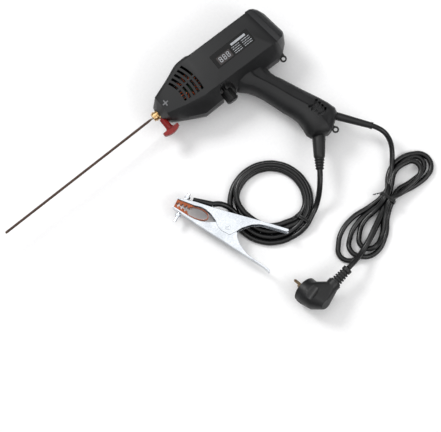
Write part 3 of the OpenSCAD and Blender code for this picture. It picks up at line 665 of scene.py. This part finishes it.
class WELDINGGUN_OT_clamp(bpy.types.Operator):
    """Finishes the clamp: pressed arms, toothed jaws, shunt, bolts, lug and spring"""

    bl_idname = "welding_gun.clamp"
    bl_label = "Ground clamp"

    def execute(self, context):
        for node in ("upper_arm", "lower_arm", "pivot_rivet", "upper_bolt", "lower_bolt",
                     "cable_lug"):
            slotted(refined(node, MATERIALS["zinc"], 0.35, least_angle=20))
        for node in ("upper_jaw", "lower_jaw"):
            slotted(refined(node, MATERIALS["copper"], 0.3))
        coat("copper_shunt", MATERIALS["copper"])
        slotted(refined("lug_sleeve", MATERIALS["pvc"], 0.4))
        self.spring()
        return {"FINISHED"}

    def spring(self):
        """A true helix between the two straight legs, in place of the stacked rings."""
        low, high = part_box("clamp_spring")
        rivet_low, rivet_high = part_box("pivot_rivet")
        axis = (rivet_low + rivet_high) / 2
        turns = 6
        radius = SPRING_R * MM
        bottom = CLAMP_Z * MM + SPRING_LOW * MM
        pitch = SPRING_PITCH * MM
        slant = math.radians(CLAMP_ANGLE)
        points = []
        for i in range(turns * 12 + 1):
            a = slant + math.tau * i / 12
            points.append(Vector((axis.x + radius * math.cos(a),
                                  axis.y + radius * math.sin(a),
                                  bottom + pitch * i / 12)))
        leg = math.radians(CLAMP_ANGLE + 38)
        tip = points[-1] + Vector((math.cos(leg), math.sin(leg), 0)) * SPRING_LEG * MM
        points.append(points[-1].lerp(tip, 0.3))
        points.append(tip)
        wire = tube("clamp_spring_wire", points, SPRING_WIRE * MM, MATERIALS["spring"], "gun")
        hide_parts("clamp_spring")
        slotted(wire)
        coat("spring_leg", MATERIALS["spring"])


# The clamp's turn in degrees, its height, and its spring's sizes, in millimetres.
CLAMP_ANGLE = -66.5
CLAMP_Z = 9.3
SPRING_R = 5.5
SPRING_WIRE = 0.85
SPRING_LOW = 5.5
SPRING_PITCH = 1.95
SPRING_LEG = 23.0


# ---- the stage ----


class WELDINGGUN_OT_stage(bpy.types.Operator):
    """Sets the camera, the pale floor and the soft studio light"""

    bl_idname = "welding_gun.stage"
    bl_label = "Camera, floor and light"

    def execute(self, context):
        look = context.scene.welding_gun_stage
        heading = look.heading
        tilt = look.tilt
        right = Vector((math.cos(heading), -math.sin(heading), 0))
        away = Vector((math.sin(heading), math.cos(heading), 0))
        back = -away * math.sin(tilt) + Vector((0, 0, math.cos(tilt)))
        data = bpy.data.cameras.new("camera")
        data.sensor_width = 36
        data.lens = data.sensor_width * look.distance / look.field_width
        data.clip_end = 50
        camera = link("camera", data)
        camera.matrix_world = Matrix.Translation(Vector(look.target) + back * look.distance) \
            @ Matrix((right, back.cross(right), back)).transposed().to_4x4()
        context.scene.camera = camera

        bm = bmesh.new()
        bmesh.ops.create_grid(bm, x_segments=2, y_segments=2, size=6)
        mesh = bpy.data.meshes.new("floor")
        bm.to_mesh(mesh)
        bm.free()
        # Matt white paper: nearly even, with a trace of fibre.
        mesh.materials.append(surface("paper_sweep_white", "#f4f4f5", "#fbfbfb", (0.8, 0.9),
                                      4.0, blotch=400))
        floor = link("floor", mesh)

        middle = Vector(look.target)
        for name, place, size, power in (
                ("key_light", -right * 1.1 + away * 1.0 + Vector((0, 0, 1.6)), 0.7, 1.0),
                ("fill_light", right * 1.3 - away * 0.6 + Vector((0, 0, 1.5)), 1.0, 0.45),
                ("top_light", Vector((0.1, 0.3, 2.4)), 1.6, 0.27)):
            lamp = bpy.data.lights.new(name, "AREA")
            lamp.shape = "DISK"
            lamp.size = size
            lamp.energy = look.light_power * power
            made = link(name, lamp)
            made.matrix_world = Matrix.Translation(middle + place) @ \
                place.to_track_quat("Z", "Y").to_matrix().to_4x4()

        world = bpy.data.worlds.new("studio")
        world.use_nodes = True
        world.node_tree.nodes.clear()
        # bright overhead and dim at the sides, so that bent metal shows light and dark
        way = add_node(world.node_tree, "ShaderNodeTexCoord")
        split = add_node(world.node_tree, "ShaderNodeSeparateXYZ",
                         links={0: way.outputs["Generated"]})
        tone = add_node(world.node_tree, "ShaderNodeValToRGB", links={0: split.outputs["Z"]})
        tone.color_ramp.elements[0].position = 0.15
        tone.color_ramp.elements[0].color = (0.12, 0.12, 0.125, 1)
        tone.color_ramp.elements[1].position = 0.85
        tone.color_ramp.elements[1].color = (1, 1, 1, 1)
        light = add_node(world.node_tree, "ShaderNodeBackground",
                         {"Strength": look.room_light}, {"Color": tone.outputs[0]})
        add_node(world.node_tree, "ShaderNodeOutputWorld", links={0: light.outputs[0]})
        context.scene.world = world
        context.scene.view_settings.view_transform = "Standard"
        return {"FINISHED"}


# ---- what a user may change ----


class WeldingGunFinish(bpy.types.PropertyGroup):
    """Colours of the main finishes."""

    housing_dark: bpy.props.StringProperty(
        name="Housing, dark", description="Darker tone of the housing's plastic",
        default="#070708")
    housing_light: bpy.props.StringProperty(
        name="Housing, light", description="Lighter tone of the housing's plastic",
        default="#131416")


class WeldingGunSizes(bpy.types.PropertyGroup):
    """Sizes of the finish, in millimetres."""

    edge_rounding: bpy.props.FloatProperty(
        name="Edge rounding", description="Radius of the housing's moulded edges, in mm",
        default=0.7, min=0.1, max=1.5)


class WeldingGunStage(bpy.types.PropertyGroup):
    """The camera and the light."""

    heading: bpy.props.FloatProperty(
        name="Heading", description="Turn of the view about the vertical",
        default=math.radians(38.7), subtype="ANGLE")
    tilt: bpy.props.FloatProperty(
        name="Tilt", description="Lean of the view from straight down",
        default=math.radians(10), subtype="ANGLE")
    distance: bpy.props.FloatProperty(
        name="Distance", description="From the camera to the middle of the view",
        default=3.5, unit="LENGTH")
    field_width: bpy.props.FloatProperty(
        name="Field width", description="Width of the view at that distance",
        default=0.6615, unit="LENGTH")
    target: bpy.props.FloatVectorProperty(
        name="Target", description="Middle of the view",
        default=(0.0099, -0.0544, 0.04), subtype="TRANSLATION")
    light_power: bpy.props.FloatProperty(
        name="Light power", description="Power of the key light", default=20.0, unit="POWER")
    room_light: bpy.props.FloatProperty(
        name="Room light", description="Strength of the even light from all round",
        default=0.85, min=0.0)


OPERATORS = (WELDINGGUN_OT_stage, WELDINGGUN_OT_cords, WELDINGGUN_OT_housing,
             WELDINGGUN_OT_label, WELDINGGUN_OT_chuck, WELDINGGUN_OT_electrode,
             WELDINGGUN_OT_knob, WELDINGGUN_OT_inside, WELDINGGUN_OT_clamp)


class WELDINGGUN_PT_panel(bpy.types.Panel):
    """Lists the sizes, colours and operators"""

    bl_idname = "WELDINGGUN_PT_panel"
    bl_label = "Welding gun"
    bl_space_type = "VIEW_3D"
    bl_region_type = "UI"
    bl_category = "Welding gun"

    def draw(self, context):
        scene = context.scene
        for group in (scene.welding_gun_finish, scene.welding_gun_sizes,
                      scene.welding_gun_stage):
            for name in group.bl_rna.properties.keys():
                if name not in ("name", "rna_type"):
                    self.layout.prop(group, name)
        for operator in OPERATORS:
            self.layout.operator(operator.bl_idname)


CLASSES = (WeldingGunFinish, WeldingGunSizes, WeldingGunStage, *OPERATORS,
           WELDINGGUN_PT_panel)


def register():
    for cls in CLASSES:
        bpy.utils.register_class(cls)
    bpy.types.Scene.welding_gun_finish = bpy.props.PointerProperty(type=WeldingGunFinish)
    bpy.types.Scene.welding_gun_sizes = bpy.props.PointerProperty(type=WeldingGunSizes)
    bpy.types.Scene.welding_gun_stage = bpy.props.PointerProperty(type=WeldingGunStage)


def unregister():
    del bpy.types.Scene.welding_gun_stage
    del bpy.types.Scene.welding_gun_sizes
    del bpy.types.Scene.welding_gun_finish
    for cls in reversed(CLASSES):
        bpy.utils.unregister_class(cls)


def main():
    """Builds the stage and every piece in order."""
    register()
    MATERIALS.update(make_materials())
    bpy.ops.welding_gun.stage()
    bpy.ops.welding_gun.cords()
    bpy.ops.welding_gun.housing()
    bpy.ops.welding_gun.label()
    bpy.ops.welding_gun.chuck()
    bpy.ops.welding_gun.electrode()
    bpy.ops.welding_gun.knob()
    bpy.ops.welding_gun.inside()
    bpy.ops.welding_gun.clamp()


if __name__ == "__main__":
    main()
